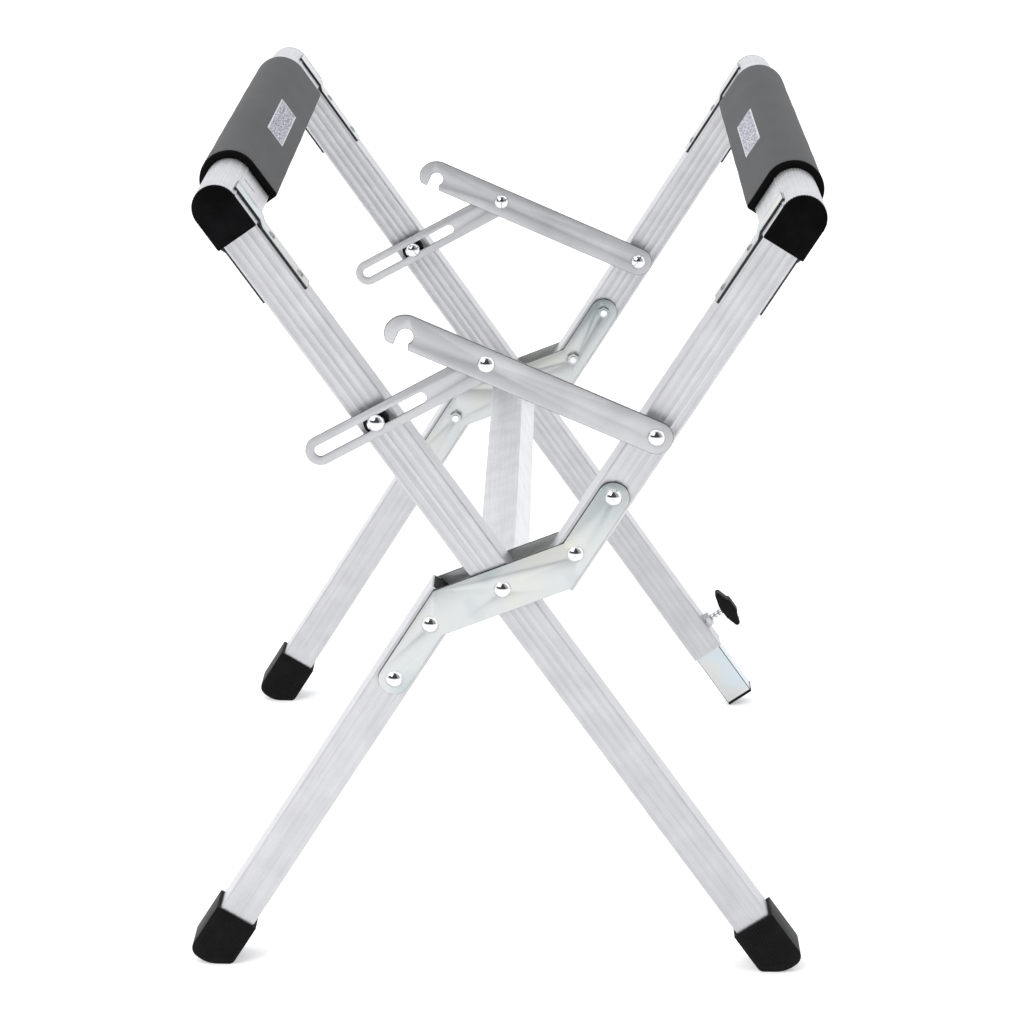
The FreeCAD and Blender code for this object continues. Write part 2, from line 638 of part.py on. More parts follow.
THROAT = "hook_reach"
arm_corners = [
    ("0", "-arm_half"),
    (THROAT, "-arm_half", "hook_outer"),
    (THROAT + " + hook_outer", "hook_drop", "hook_nose"),
    (THROAT + " + hook_tip", "arm_half"),
    (THROAT + " + hook_radius", "arm_half"),
    (THROAT + " + hook_radius", "hook_drop", "-hook_radius"),
    (THROAT, "hook_drop - hook_radius", "-hook_radius"),
    (THROAT + " - hook_radius", "hook_drop", "-hook_radius"),
    (THROAT + " - hook_lip", "hook_drop + sqrt(hook_radius^2 - hook_lip^2)"),
    (THROAT + " - hook_radius + mouth_flare", "arm_half"),
    ("0", "arm_half", "arm_half"),
    ("-arm_half", "0", "arm_half"),
]


# The rivet, from the arm's pivot, and the slot's line from the rivet, as angles from +X.
RIVET_REACH = math.hypot(number("rivet_x + pivot_x") - ARM.Base.x,
                         number("rivet_z + pivot_z") - ARM.Base.z)
RIVET_RISE = math.degrees(math.atan2(number("rivet_z + pivot_z") - ARM.Base.z,
                                     number("rivet_x + pivot_x") - ARM.Base.x))
BOLT_X = number("-slot_bolt_along * sin(tilt_a)")
BOLT_Z = number("slot_bolt_along * cos(tilt_a)")
SLOT_RISE = math.degrees(math.atan2(BOLT_Z - number("rivet_z"), BOLT_X - number("rivet_x")))
LINK = turned("pivot_x + rivet_x", "pivot_y", "pivot_z + rivet_z",
              angle="%.12g - link_turn" % -SLOT_RISE)
swing = math.radians(RIVET_RISE - number("arm_rise"))
RIVET = ("%.12g" % (RIVET_REACH * math.cos(swing)), "%.12g" % (RIVET_REACH * math.sin(swing)))


def slot_outline(start, end, half):
    """A round-ended bar, also the shape of a slot."""
    return [
        (start, "-(%s)" % half),
        (end, "-(%s)" % half, half),
        ("%s + %s" % (end, half), "0", half),
        (end, half),
        (start, half, half),
        ("%s - %s" % (start, half), "0", half),
    ]


sleeves, arm_nuts, discs, slot_nuts = [], [], [], []
for pair, y in PAIRS:
    arm_holes = [("0", "0", "bolt_radius + pin_gap"), RIVET + ("rivet_radius + pin_gap",)]
    arm = padded("%s_arm_plate" % pair, "XZ_Plane", [arm_corners], "plate", arm_holes)
    sub_part(arm, "latch_arm_" + pair, ARM.multiply(turned(y="%s - arm_front" % y)))

    bar = slot_outline("0", "slot_far", "link_half")
    slot = slot_outline("slot_near", "slot_far", "slot_half")
    link_holes = [("0", "0", "rivet_radius + pin_gap")]
    link = padded("%s_link_plate" % pair, "XZ_Plane", [bar, slot], "plate", link_holes)
    sub_part(link, "slotted_link_" + pair, LINK.multiply(turned(y="%s - link_front" % y)))

    behind_link = "%s - link_front + plate + running_gap" % y
    rivet_y = "%s - arm_front" % y
    rivet_at = (RIVET[0], rivet_y, RIVET[1])
    rivet_length = "arm_front - link_front + plate + running_gap + tail_height"
    rivet = fused(pair + "_rivet", [
        dome(pair + "_rivet_head", "head_radius", "head_height", rivet_at, TO_FRONT),
        rod(pair + "_rivet_shank", "rivet_radius", rivet_length, rivet_at),
        rod(pair + "_rivet_tail", "tail_radius", "tail_height",
            (RIVET[0], behind_link, RIVET[1])),
    ])
    sub_part(rivet, "link_rivet_" + pair, ARM)

    # The arm turns on a bolt through the half leg, held off it by a steel sleeve.
    head_y = "%s - arm_front - running_gap" % y
    grip = "arm_front + running_gap + tube_depth + nut_height + bolt_end"
    arm_bolt = bolt(pair + "_arm_bolt", "crank", "arm_along", head_y, grip)
    sub_part(arm_bolt, "arm_bolt_" + pair, FRAME_B)
    sleeve_at = ("crank", "%s - arm_front + plate + running_gap" % y, "arm_along")
    sleeve_length = "arm_front - plate - running_gap"
    sleeve_rod = rod(pair + "_sleeve_rod", "head_radius", sleeve_length, sleeve_at)
    sleeve_bore = rod(pair + "_sleeve_bore", "bolt_radius + pin_gap", sleeve_length, sleeve_at)
    sleeves.append(cut(pair + "_sleeve_ring", sleeve_rod, [sleeve_bore]))
    arm_nuts.append(nut(pair + "_arm_nut", "crank", "arm_along", y + " + tube_depth"))

    # The slot bolt stands on the straight leg, with a nylon disc behind the link.
    head_y = "%s - link_front - running_gap" % y
    grip = "link_front + tube_depth + nut_height + bolt_end"
    slot_bolt = bolt(pair + "_slot_bolt", "0", "slot_bolt_along", head_y, grip, "rivet_radius")
    sub_part(slot_bolt, "slot_bolt_" + pair, FRAME_A)
    disc_at = ("0", behind_link, "slot_bolt_along")
    disc_length = "link_front - plate"
    disc_rod = rod(pair + "_disc_rod", "disc_radius", disc_length, disc_at)
    disc_bore = rod(pair + "_disc_bore", "rivet_radius + pin_gap", disc_length, disc_at)
    discs.append(cut(pair + "_disc_ring", disc_rod, [disc_bore]))
    slot_nuts.append(nut(pair + "_slot_nut", "0", "slot_bolt_along",
                         y + " + tube_depth - running_gap", "rivet_radius"))

sub_part(grouped("sleeve_pair", sleeves), "arm_sleeves", FRAME_B)
sub_part(grouped("arm_nut_pair", arm_nuts), "arm_nuts", FRAME_B)
sub_part(grouped("disc_pair", discs), "slot_discs", FRAME_A)
sub_part(grouped("slot_nut_pair", slot_nuts), "slot_nuts", FRAME_A)

# ------------------------------------------------------------------- check and export
doc.recompute()
for thing in doc.Objects:
    if "Invalid" in thing.State or "Error" in thing.State:
        raise RuntimeError("%s failed: %s" % (thing.Name, thing.State))
for thing in subparts:
    if thing.Shape.isNull() or not thing.Shape.isValid():
        raise RuntimeError("%s has no valid shape" % thing.Label)

os.makedirs("parts", exist_ok=True)
for thing in subparts:
    thing.Shape.exportStep("parts/%s.step" % thing.Label)
print("%d sub-parts" % len(subparts))
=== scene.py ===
import json
import math

import bmesh
import bpy
from mathutils import Matrix, Vector

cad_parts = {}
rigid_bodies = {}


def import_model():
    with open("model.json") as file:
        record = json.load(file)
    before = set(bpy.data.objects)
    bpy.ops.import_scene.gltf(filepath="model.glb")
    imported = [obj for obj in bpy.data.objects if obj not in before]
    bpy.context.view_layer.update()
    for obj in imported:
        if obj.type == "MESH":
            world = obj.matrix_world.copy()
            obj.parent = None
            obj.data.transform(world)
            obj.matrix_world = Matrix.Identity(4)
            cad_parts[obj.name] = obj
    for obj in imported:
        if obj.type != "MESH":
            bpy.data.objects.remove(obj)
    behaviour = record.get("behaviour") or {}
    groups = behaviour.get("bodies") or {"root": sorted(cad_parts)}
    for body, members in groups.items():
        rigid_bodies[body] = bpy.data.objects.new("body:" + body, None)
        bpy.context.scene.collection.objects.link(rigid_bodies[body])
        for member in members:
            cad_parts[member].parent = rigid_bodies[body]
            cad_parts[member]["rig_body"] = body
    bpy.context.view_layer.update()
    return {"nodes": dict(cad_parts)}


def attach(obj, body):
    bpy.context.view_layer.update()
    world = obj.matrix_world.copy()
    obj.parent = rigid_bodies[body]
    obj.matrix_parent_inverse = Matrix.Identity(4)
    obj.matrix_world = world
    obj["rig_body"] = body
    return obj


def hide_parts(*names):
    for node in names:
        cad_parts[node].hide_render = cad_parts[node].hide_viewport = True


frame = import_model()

# ------------------------------------------------------------------ how it is seen
# A product view from in front and a little above: long lens, white floor and soft light
# from all round, with one large lamp high on the left.
EYE = Vector((0.0533, -3.0402, 1.4362))
YAW, PITCH, ROLL = math.radians(-0.89), math.radians(-19.06), math.radians(0.42)
ahead = Vector((math.sin(YAW) * math.cos(PITCH), math.cos(YAW) * math.cos(PITCH),
                math.sin(PITCH)))
level = Vector((math.cos(YAW), -math.sin(YAW), 0))
above = level.cross(ahead)
right = level * math.cos(ROLL) + above * math.sin(ROLL)
up = above * math.cos(ROLL) - level * math.sin(ROLL)
view = bpy.data.cameras.new("view")
view.lens = 98.73
view.sensor_width = 36
view.clip_end = 50
eye = bpy.data.objects.new("eye", view)
eye.matrix_world = Matrix((
    (right.x, up.x, -ahead.x, EYE.x),
    (right.y, up.y, -ahead.y, EYE.y),
    (right.z, up.z, -ahead.z, EYE.z),
    (0, 0, 0, 1)))
bpy.context.collection.objects.link(eye)
bpy.context.scene.camera = eye
bpy.context.scene.view_settings.view_transform = "Standard"


class Field:
    """A socket of a node tree. Arithmetic on it adds Math nodes."""

    def __init__(self, tree, socket=None):
        self.tree = tree
        self.socket = socket

    def node(self, kind, settings=None, values=None, out=0):
        """Make a node: settings first, then the values or links of its sockets."""
        made = self.tree.nodes.new(kind)
        for name, setting in (settings or {}).items():
            setattr(made, name, setting)
        for name, value in (values or {}).items():
            if isinstance(value, Field):
                self.tree.links.new(value.socket, made.inputs[name])
            else:
                made.inputs[name].default_value = value
        return Field(self.tree, made.outputs[out])

    def math(self, operation, *others):
        values = dict(enumerate((self,) + others))
        return self.node("ShaderNodeMath", {"operation": operation}, values)

    def __add__(self, other):
        return self.math("ADD", other)

    def __sub__(self, other):
        return self.math("SUBTRACT", other)

    def __rsub__(self, other):
        return self.math("MULTIPLY", -1.0).math("ADD", other)

    def __mul__(self, other):
        return self.math("MULTIPLY", other)

    __radd__ = __add__
    __rmul__ = __mul__

    def between(self, low, high):
        """0 below low, 1 above high, smooth from one to the other."""
        settings = {"interpolation_type": "SMOOTHSTEP"}
        values = {"Value": self, "From Min": low, "From Max": high}
        return self.node("ShaderNodeMapRange", settings, values)

    def blend(self, first, second):
        """A colour from first, where this is 0, to second, where it is 1."""
        first, second = (colour if isinstance(colour, Field) else (*colour, 1)
                         for colour in (first, second))
        values = {0: self, 6: first, 7: second}
        return self.node("ShaderNodeMix", {"data_type": "RGBA"}, values, out=2)


def finish_of(name, recipe, **plain):
    """A material: recipe(field) gives the sockets that vary, plain the ones that don't."""
    material = bpy.data.materials.new(name)
    material.use_nodes = True
    tree = material.node_tree
    shader = tree.nodes["Principled BSDF"]
    for socket, value in plain.items():
        shader.inputs[socket.replace("_", " ")].default_value = value
    for socket, value in recipe(Field(tree)).items():
        tree.links.new(value.socket, shader.inputs[socket])
    return material


def place_on(field, turn=0.0, stretch=(1, 1, 1)):
    """Object coordinates turned about Y, then stretched."""
    coordinates = field.node("ShaderNodeTexCoord", out=3)
    turned = field.node("ShaderNodeMapping", {},
                        {"Vector": coordinates, "Rotation": (0, math.radians(turn), 0)})
    return field.node("ShaderNodeVectorMath", {"operation": "MULTIPLY"},
                      {0: turned, 1: stretch})


def noise(field, place, scale, detail=3.0, roughness=0.5):
    values = {"Vector": place, "Scale": scale, "Detail": detail, "Roughness": roughness}
    return field.node("ShaderNodeTexNoise", {}, values)


# The room is white, with a dark screen on the camera's side that bright metal picks up.
SCREEN_FOOT, SCREEN_HEAD, SCREEN_DEPTH = (0.03, 0.10), (0.90, 0.97), (-0.50, -0.15)
ROOM_WHITE, SCREEN_DARK, ROOM_STRENGTH = (0.97, 0.98, 1.0), (0.05, 0.05, 0.055), 1.34
sky = bpy.data.worlds.new("studio")
bpy.context.scene.world = sky
sky.use_nodes = True
sky_field = Field(sky.node_tree)
toward = sky_field.node("ShaderNodeTexCoord", out=0)
depth = sky_field.node("ShaderNodeSeparateXYZ", {}, {0: toward}, out=1)
height = sky_field.node("ShaderNodeSeparateXYZ", {}, {0: toward}, out=2)
screen = height.between(*SCREEN_FOOT) * (1 - height.between(*SCREEN_HEAD))
screen = screen * (1 - depth.between(*SCREEN_DEPTH))
ambient = screen.blend(ROOM_WHITE, SCREEN_DARK)
background = sky.node_tree.nodes["Background"]
sky.node_tree.links.new(ambient.socket, background.inputs["Color"])
background.inputs["Strength"].default_value = ROOM_STRENGTH


def lamp(name, place, aim, size, power):
    """A square lamp that points at a place."""
    light = bpy.data.lights.new(name, "AREA")
    light.size = size
    light.energy = power
    holder = bpy.data.objects.new(name, light)
    holder.location = place
    holder.rotation_euler = (Vector(aim) - Vector(place)).to_track_quat("-Z", "Y").to_euler()
    bpy.context.collection.objects.link(holder)


lamp("key_light", place=(-2.2, -2.4, 3.4), aim=(0, 0, 0.4), size=2.4, power=80)
lamp("fill_light", place=(2.6, -1.6, 2.4), aim=(0, 0, 0.5), size=3.4, power=14)


def mesh_piece(name, shape, *materials):
    """An object at the origin from a bmesh."""
    mesh = bpy.data.meshes.new(name)
    shape.to_mesh(mesh)
    shape.free()
    for material in materials:
        mesh.materials.append(material)
    piece = bpy.data.objects.new(name, mesh)
    bpy.context.collection.objects.link(piece)
    return piece


def floor_recipe(field):
    grain = noise(field, place_on(field), 2.0)
    return {"Base Color": grain.blend((0.95, 0.95, 0.95), (0.97, 0.97, 0.97))}


FLOOR_REACH = 30
floor = bmesh.new()
bmesh.ops.create_grid(floor, x_segments=1, y_segments=1, size=FLOOR_REACH)
paper = finish_of("white_floor", floor_recipe, Roughness=0.9,
                  Emission_Color=(1, 1, 1, 1), Emission_Strength=0.30)
mesh_piece("floor", floor, paper)

# -------------------------------------------------------------------------- leg tubes
# Extruded aluminium, mill finish: fine draw lines run the length of each tube, and a
# faint mottling lies over them. Cut to length and drilled for their bolts.
LEAN_A_DEGREES, LEAN_B_DEGREES = -35.4, 31.5
LEAN_A, LEAN_B = math.radians(LEAN_A_DEGREES), math.radians(LEAN_B_DEGREES)
PIVOT_UP = 0.431
PIVOT = Matrix.Translation((0.0043, -0.37535, PIVOT_UP))
ON_A = PIVOT @ Matrix.Rotation(LEAN_A, 4, "Y")
ON_B = PIVOT @ Matrix.Rotation(LEAN_B, 4, "Y")
MILL_LIGHT, MILL_DARK = (0.60, 0.60, 0.61), (0.50, 0.50, 0.515)


def bumped(field, height, distance, strength=1.0):
    values = {"Height": height, "Distance": distance, "Strength": strength}
    return field.node("ShaderNodeBump", {}, values)


def mill_finish(name, turn, stretch, bright=1.0):
    """Drawn aluminium whose lines follow the axis that stretch keeps short. Bright scales the
    colours, for painted light and painted shade on some copies.
    """
    dark, light = ([bright * part for part in tone] for tone in (MILL_DARK, MILL_LIGHT))

    def recipe(field):
        place = place_on(field, turn, stretch)
        lines = noise(field, place, 1.0, 4.0, 0.65)
        mottle = noise(field, place_on(field), 38.0, 2.0)
        tone = lines * 0.65 + mottle * 0.35
        return {
            "Base Color": tone.between(0.35, 0.65).blend(dark, light),
            "Roughness": tone * 0.22 + 0.30,
            "Normal": bumped(field, lines, 0.00025, 0.6),
        }
    return finish_of(name, recipe, Metallic=0.78)


ALONG_LEG = (900, 900, 6)
# Painted shade: the straight legs' copy of the finish is a little darker than the cranked
# legs'.
STRAIGHT_LEG_PAINTED_SHADE = 0.94
mill_a = mill_finish("mill_straight_leg", -LEAN_A_DEGREES, ALONG_LEG, STRAIGHT_LEG_PAINTED_SHADE)
mill_b = mill_finish("mill_cranked_leg", -LEAN_B_DEGREES, ALONG_LEG)


def finish_nodes(material, *starts):
    """Give a material to every CAD node whose name starts so."""
    for name, node in frame["nodes"].items():
        if name.startswith(starts):
            node.data.materials.clear()
            node.data.materials.append(material)


finish_nodes(mill_a, "leg_a")
finish_nodes(mill_b, "leg_b")

# -------------------------------------------------------------------------- cross bar
# Square aluminium tube between the inner gussets, welded at both ends, drawn along its
# length like the rails.
# Painted light: the cross bar's copy of the finish is made brighter than the other tubes'.
ALONG_RAIL, BAR_PAINTED_LIGHT = (900, 5, 900), 1.2
mill_bar = mill_finish("mill_bar", 0, ALONG_RAIL, BAR_PAINTED_LIGHT)
finish_nodes(mill_bar, "cross_bar")

# ---------------------------------------------------------------------------- gussets
# Cranked plates pressed from zinc plated steel, one each side of a pair of legs. The plating
# has a faint yellow and blue cast, with painted shade making it darker and cooler near the
# tops, and the edges are painted near black as a painted shade outline.
ZINC, ZINC_WARM, ZINC_COOL = (0.54, 0.56, 0.555), (0.59, 0.585, 0.53), (0.43, 0.475, 0.48)
# Painted shade: the darker, cooler plating colour below, mixed in over a band of height near
# the tops of the gussets.
ZINC_PAINTED_SHADE, PAINTED_SHADE_SHARE = (0.30, 0.365, 0.37), 0.75
PAINTED_SHADE_FOOT, PAINTED_SHADE_HEAD = (0.475, 0.565), (0.60, 0.70)
# Painted shade: the near black colours given to the cut edges, as a dark outline.
EDGE_SHADE_LIGHT, EDGE_SHADE_DARK = (0.060, 0.068, 0.068), (0.018, 0.021, 0.021)
SHEET_EDGE = 0.0006


def zinc_recipe(field):
    """Plating with painted shade: cooler and darker in a band of height near the tops of the
    gussets.
    """
    spot = field.node("ShaderNodeTexCoord", out=3)
    high = field.node("ShaderNodeSeparateXYZ", {}, {0: spot}, out=2)
    # Painted shade: a band of height near the gussets' tops, mixed towards the darker colour.
    painted_shade = high.between(*PAINTED_SHADE_FOOT) * (1 - high.between(*PAINTED_SHADE_HEAD))
    cast = noise(field, place_on(field), 14.0, 2.0)
    grain = noise(field, place_on(field), 900.0, 3.0)
    warm = cast.between(0.52, 0.70).blend(ZINC, ZINC_WARM)
    plating = cast.between(0.30, 0.46).blend(ZINC_COOL, warm)
    return {
        "Base Color": (painted_shade * PAINTED_SHADE_SHARE).blend(plating, ZINC_PAINTED_SHADE),
        "Roughness": grain * 0.10 + cast * 0.18 + 0.20,
        "Normal": bumped(field, grain, 0.0001, 0.4),
    }


# Painted shade: near black for the cut edges of plates, straps and the foot tube, and for the
# slot floors, standing in for the dark outline that shade draws round them.
def edge_shade_recipe(field):
    edge_grain = noise(field, place_on(field), 700.0, 3.0)
    return {
        "Base Color": edge_grain.between(0.35, 0.7).blend(EDGE_SHADE_DARK, EDGE_SHADE_LIGHT),
        "Roughness": edge_grain * 0.2 + 0.35,
    }


def nodes_named(*starts):
    """The CAD nodes whose names start so."""
    return [name for name in frame["nodes"] if name.startswith(starts)]


zinc = finish_of("zinc_plating", zinc_recipe, Metallic=0.90)
edge_shade = finish_of("painted_edge_shade", edge_shade_recipe, Metallic=0.6)


def softened(name, node, width, materials, sheet_y=None, segments=2, before=None):
    """A CAD node with its edges broken, standing in for the node.

    The broken edges take the last material. So do the sides that punching leaves: those
    that face away from Y on a plate whose broad sides face Y (sheet_y true), or along Y
    on one that was folded (sheet_y false).
    """
    source = frame["nodes"][node]
    shape = bmesh.new()
    shape.from_mesh(source.data)
    bmesh.ops.remove_doubles(shape, verts=shape.verts, dist=1e-6)
    flat = math.radians(1.0)
    bmesh.ops.dissolve_limit(shape, angle_limit=flat, verts=shape.verts, edges=shape.edges)
    if before:
        before(shape)
    turn = math.radians(32)
    corners = [edge for edge in shape.edges
               if len(edge.link_faces) == 2 and edge.calc_face_angle() > turn]
    made = bmesh.ops.bevel(shape, geom=corners, offset=width, segments=segments, profile=0.5,
                           affect="EDGES", clamp_overlap=True, material=len(materials) - 1)
    broken = set(made["faces"])
    for face in shape.faces:
        beside = [edge for edge in face.edges if len(edge.link_faces) == 2
                  and not broken.intersection(edge.link_faces)]
        curved = any(flat < edge.calc_face_angle() < turn for edge in beside)
        face.smooth = face in broken or curved
        if sheet_y is not None and (abs(face.normal.y) < 0.5) == sheet_y:
            face.material_index = len(materials) - 1
    piece = mesh_piece(name, shape, *materials)
    piece.data.set_sharp_from_angle(angle=turn)
    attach(piece, source["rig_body"])
    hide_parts(node)
    return piece


for node in nodes_named("gusset_outer", "gusset_inner"):
    softened(node + "_plated", node, SHEET_EDGE, (zinc, edge_shade), sheet_y=True)

# ---------------------------------------------------------------------- domed fixings
# Bolts, rivets, nuts and sleeves, cold formed in steel and bright plated. Each bolt
# goes right through its tube into a nut behind.
BRIGHT_DARK, BRIGHT_LIGHT = (0.66, 0.67, 0.68), (0.80, 0.80, 0.81)


def bright_recipe(field):
    wear = noise(field, place_on(field), 260.0, 3.0)
    return {
        "Base Color": wear.blend(BRIGHT_DARK, BRIGHT_LIGHT),
        "Roughness": wear * 0.10 + 0.07,
    }


bright = finish_of("bright_plating", bright_recipe, Metallic=1.0)
finish_nodes(bright, "gusset_bolts", "pivot_bolt", "arm_bolt", "slot_bolt", "link_rivet",
             "lock_screw")
finish_nodes(zinc, "gusset_nuts", "pivot_nuts", "arm_nuts", "slot_nuts", "arm_sleeves",
             "lock_washer", "lock_nut")

# -------------------------------------------------------------------------- the rails
# A D-shaped aluminium extrusion lies across the tops of each pair of legs. Its round
# back is ribbed for grip, with a thicker bead where it meets the straight sides.
RAIL_ROUND, RAIL_SHOULDER, LEG_TOP = 0.023, 0.484, 0.448
RAIL_START, RAIL_RUN = -0.0115, 0.779
CRANK = 0.0422
RIBS, RIB_RADIUS, RIB_SUNK = 26, 0.00055, 0.0001
BEADS, BEAD_RADIUS, BEAD_SUNK = 2, 0.0011, 0.0002
# Each rail: side, place of its legs, across from them, way to the middle, body.
RAILS = (
    ("left", ON_A, 0.0, 1, "straight_frame"),
    ("right", ON_B, CRANK, -1, "cranked_frame"))
mill_y = mill_finish("mill_rail", 0, ALONG_RAIL)
finish_nodes(mill_y, "rail_left", "rail_right")


def grown(name, sizes, recipe, material):
    """A plain mesh from a Geometry Nodes tree whose named inputs are the sizes."""
    tree = bpy.data.node_groups.new(name, "GeometryNodeTree")
    kinds = {int: "NodeSocketInt", float: "NodeSocketFloat"}
    inputs = {}
    for label, value in sizes.items():
        inputs[label] = tree.interface.new_socket(label, in_out="INPUT",
                                                  socket_type=kinds[type(value)])
    tree.interface.new_socket("Geometry", in_out="OUTPUT", socket_type="NodeSocketGeometry")
    entry = tree.nodes.new("NodeGroupInput")
    leave = tree.nodes.new("NodeGroupOutput")
    given = {label: Field(tree, entry.outputs[label]) for label in sizes}
    field = Field(tree)
    real = field.node("GeometryNodeRealizeInstances", {}, {"Geometry": recipe(field, given)})
    dressed = field.node("GeometryNodeSetMaterial", {},
                         {"Geometry": real, "Material": material})
    tree.links.new(dressed.socket, leave.inputs["Geometry"])
    piece = bpy.data.objects.new(name, bpy.data.meshes.new(name + "_start"))
    bpy.context.collection.objects.link(piece)
    modifier = piece.modifiers.new("grow", "NODES")
    modifier.node_group = tree
    for label, value in sizes.items():
        modifier[inputs[label].identifier] = value
    seen = piece.evaluated_get(bpy.context.evaluated_depsgraph_get())
    mesh = bpy.data.meshes.new_from_object(seen)
    piece.modifiers.clear()
    piece.data = mesh
    for face in mesh.polygons:
        face.use_smooth = True
    mesh.set_sharp_from_angle(angle=math.radians(50))
    return piece


def rib_recipe(field, size):
    """Thin bars along Y, spread round an arc over the shoulder of the rail."""
    index = field.node("GeometryNodeInputIndex")
    angle = size["First angle"] + index * size["Angle step"]
    place = field.node("ShaderNodeCombineXYZ", {}, {
        "X": angle.math("COSINE") * size["Round"],
        "Y": size["Start"] + size["Length"] * 0.5,
        "Z": angle.math("SINE") * size["Round"] + size["Shoulder"]})
    points = field.node("GeometryNodePoints", {}, {"Count": size["Ribs"], "Position": place})
    bar = field.node("GeometryNodeMeshCylinder", {"fill_type": "NGON"}, {
        "Vertices": 8, "Radius": size["Rib radius"], "Depth": size["Length"]})
    laid = field.node("GeometryNodeTransform", {}, {
        "Geometry": bar, "Rotation": (math.pi / 2, 0, 0)})
    return field.node("GeometryNodeInstanceOnPoints", {}, {"Points": points, "Instance": laid})


def fixed_to(piece, place, body):
    """Set a piece's mesh in its place, and let it ride."""
    piece.data.transform(place)
    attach(piece, body)
    return piece


for side, on_leg, across, _, body in RAILS:
    place = on_leg @ Matrix.Translation((across, 0, 0))
    spread = {"Start": RAIL_START, "Length": RAIL_RUN, "Shoulder": RAIL_SHOULDER}
    ribs = grown("rail_%s_ribs" % side, {
        "Ribs": RIBS, "First angle": 0.5 * math.pi / RIBS, "Angle step": math.pi / RIBS,
        "Round": RAIL_ROUND - RIB_SUNK, "Rib radius": RIB_RADIUS, **spread},
        rib_recipe, mill_y)
    fixed_to(ribs, place, body)
    beads = grown("rail_%s_beads" % side, {
        "Ribs": BEADS, "First angle": 0.0, "Angle step": math.pi,
        "Round": RAIL_ROUND - BEAD_SUNK, "Rib radius": BEAD_RADIUS, **spread},
        rib_recipe, mill_y)
    fixed_to(beads, place, body)

# ------------------------------------------------------------------ rail slot marks
# A short slot is punched in the inner side of each rail near its ends, with a burr left
# round it. It is made as a floor painted near black, a painted shade for the slot's hollow,
# inside a raised burr, not as a hole.
SLOT_LONG, SLOT_TALL, SLOT_UP, SLOT_IN = 0.0034, 0.017, 0.473, 0.080
SLOT_POINTS = 24
# Rings from the floor out over the burr: how far outside the slot, how far off the rail.
BURR = ((-0.0005, 0.0001), (0.0, 0.0004), (0.0005, 0.0004), (0.0008, 0))


def slot_shape(inward):
    """Round ended slots at both ends of a rail: a floor with painted shade inside a raised
    burr.
    """
    shape = bmesh.new()
    for y in (RAIL_START + SLOT_IN, RAIL_START + RAIL_RUN - SLOT_IN):
        rings = []
        for grow, proud in BURR:
            ring = []
            for i in range(SLOT_POINTS):
                turn = math.tau * i / SLOT_POINTS
                end = math.copysign(SLOT_TALL / 2 - SLOT_LONG / 2, math.sin(turn))
                reach = SLOT_LONG / 2 + grow
                ring.append(shape.verts.new((
                    inward * (RAIL_ROUND + proud), y + reach * math.cos(turn),
                    SLOT_UP + end + reach * math.sin(turn))))
            rings.append(ring)
        shape.faces.new(rings[0])
        for inside, outside in zip(rings, rings[1:]):
            for i in range(SLOT_POINTS):
                after = (i + 1) % SLOT_POINTS
                face = shape.faces.new((inside[i], inside[after], outside[after], outside[i]))
                face.material_index = 1
        shape.faces.new(rings[-1])
    bmesh.ops.recalc_face_normals(shape, faces=shape.faces)
    return shape


for side, on_leg, across, inward, body in RAILS:
    slots = mesh_piece("rail_%s_slots" % side, slot_shape(inward), edge_shade, mill_y)
    fixed_to(slots, on_leg @ Matrix.Translation((across, 0, 0)), body)

# ---------------------------------------------------------------------- moulded black
# Rail end caps, pressed into the ends of the rails. Black plastic with a fine grain,
# a little paler where it is scuffed.
MOULDED_DARK, MOULDED_PALE = (0.0012, 0.0012, 0.0014), (0.0045, 0.0045, 0.0052)
RAIL_CAP_EDGE = 0.001


def moulded_recipe(field):
    grain = noise(field, place_on(field), 1500.0, 2.0)
    scuff = noise(field, place_on(field), 45.0, 4.0)
    return {
        "Base Color": scuff.between(0.35, 0.75).blend(MOULDED_DARK, MOULDED_PALE),
        "Roughness": grain * 0.15 + scuff * 0.15 + 0.38,
        "Normal": bumped(field, grain, 0.0001, 0.5),
    }


moulded = finish_of("moulded_black", moulded_recipe, Specular_IOR_Level=0.14)
matt_black = finish_of("matt_black", moulded_recipe, Specular_IOR_Level=0.04)
for node in nodes_named("rail_cap"):
    softened(node + "_moulded", node, RAIL_CAP_EDGE, (matt_black,),
             segments=3)

# ------------------------------------------------------------------------- tube plugs
# The cranked legs' open inner ends, between the gussets, are stopped with ribbed
# black blocks pushed in, a painted shade for the dark hollow inside the tubes.
PLUG_ACROSS, PLUG_DEEP, PLUG_LONG = 0.0358, 0.0318, 0.006
PLUG_END, PLUG_PROUD, PLUG_EDGE = 0.036, 0.0005, 0.0005
PITCH_Y = 0.720  # from the front pair of legs to the rear pair
LEG_MIDDLE_Y = 0.018  # half the depth of a leg tube
RIDGE_WIDE, RIDGE_TALL, RIDGE_SUNK, RIDGE_AT = 0.004, 0.0015, -0.0004, 0.009


